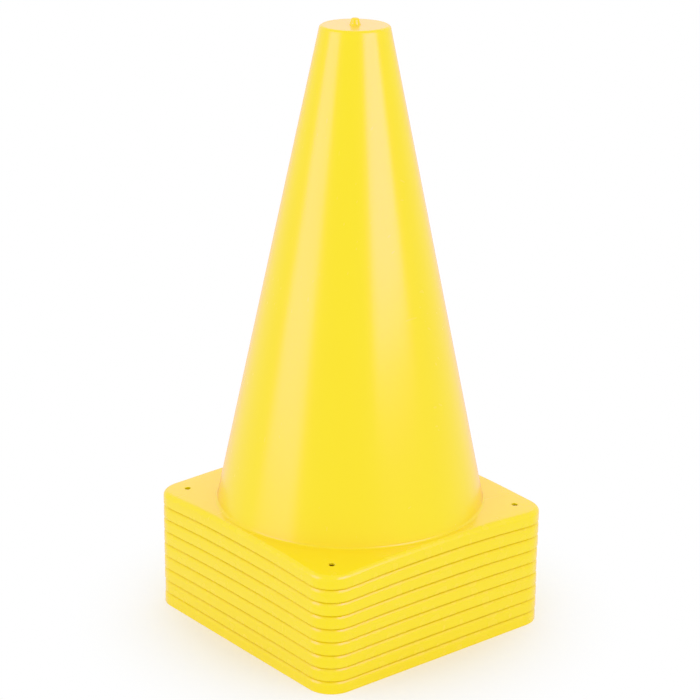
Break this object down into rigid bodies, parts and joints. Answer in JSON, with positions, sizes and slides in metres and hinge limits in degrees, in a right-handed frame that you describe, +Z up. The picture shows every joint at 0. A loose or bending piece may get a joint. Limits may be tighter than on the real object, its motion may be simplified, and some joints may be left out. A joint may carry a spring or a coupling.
{
  "type": "nested stack of sports marker cones",
  "caption": "Nested stack of plastic marker cones with flat ends, on square plates with turned-down lips and corner peg holes; each cone lifts off the one below.",
  "frame": {"origin": "on the ground, in the middle of the stack's square footprint", "axes": "+Z up along the common axis of the cones; X and Y square to the sides of the base plates"},
  "size_m": [0.136, 0.136, 0.2911],
  "materials": {
    "yellow_plastic": "smooth, slightly glossy injection-moulded plastic, the same yellow on every cone"
  },
  "bodies": {
    "cone_1": {"cone_1": "yellow_plastic"},
    "cone_2": {"cone_2": "yellow_plastic"},
    "cone_3": {"cone_3": "yellow_plastic"},
    "cone_4": {"cone_4": "yellow_plastic"},
    "cone_5": {"cone_5": "yellow_plastic"},
    "cone_6": {"cone_6": "yellow_plastic"},
    "cone_7": {"cone_7": "yellow_plastic"},
    "cone_8": {"cone_8": "yellow_plastic"},
    "cone_9": {"cone_9": "yellow_plastic"}
  },
  "joints": [
    {"name": "lift_cone_2", "type": "slide", "parent": "cone_1", "child": "cone_2", "axis": [0, 0, 1], "range_m": [0, 0.24]},
    {"name": "lift_cone_3", "type": "slide", "parent": "cone_2", "child": "cone_3", "axis": [0, 0, 1], "range_m": [0, 0.24]},
    {"name": "lift_cone_4", "type": "slide", "parent": "cone_3", "child": "cone_4", "axis": [0, 0, 1], "range_m": [0, 0.24]},
    {"name": "lift_cone_5", "type": "slide", "parent": "cone_4", "child": "cone_5", "axis": [0, 0, 1], "range_m": [0, 0.24]},
    {"name": "lift_cone_6", "type": "slide", "parent": "cone_5", "child": "cone_6", "axis": [0, 0, 1], "range_m": [0, 0.24]},
    {"name": "lift_cone_7", "type": "slide", "parent": "cone_6", "child": "cone_7", "axis": [0, 0, 1], "range_m": [0, 0.24]},
    {"name": "lift_cone_8", "type": "slide", "parent": "cone_7", "child": "cone_8", "axis": [0, 0, 1], "range_m": [0, 0.24]},
    {"name": "lift_cone_9", "type": "slide", "parent": "cone_8", "child": "cone_9", "axis": [0, 0, 1], "range_m": [0, 0.24]}
  ]
}
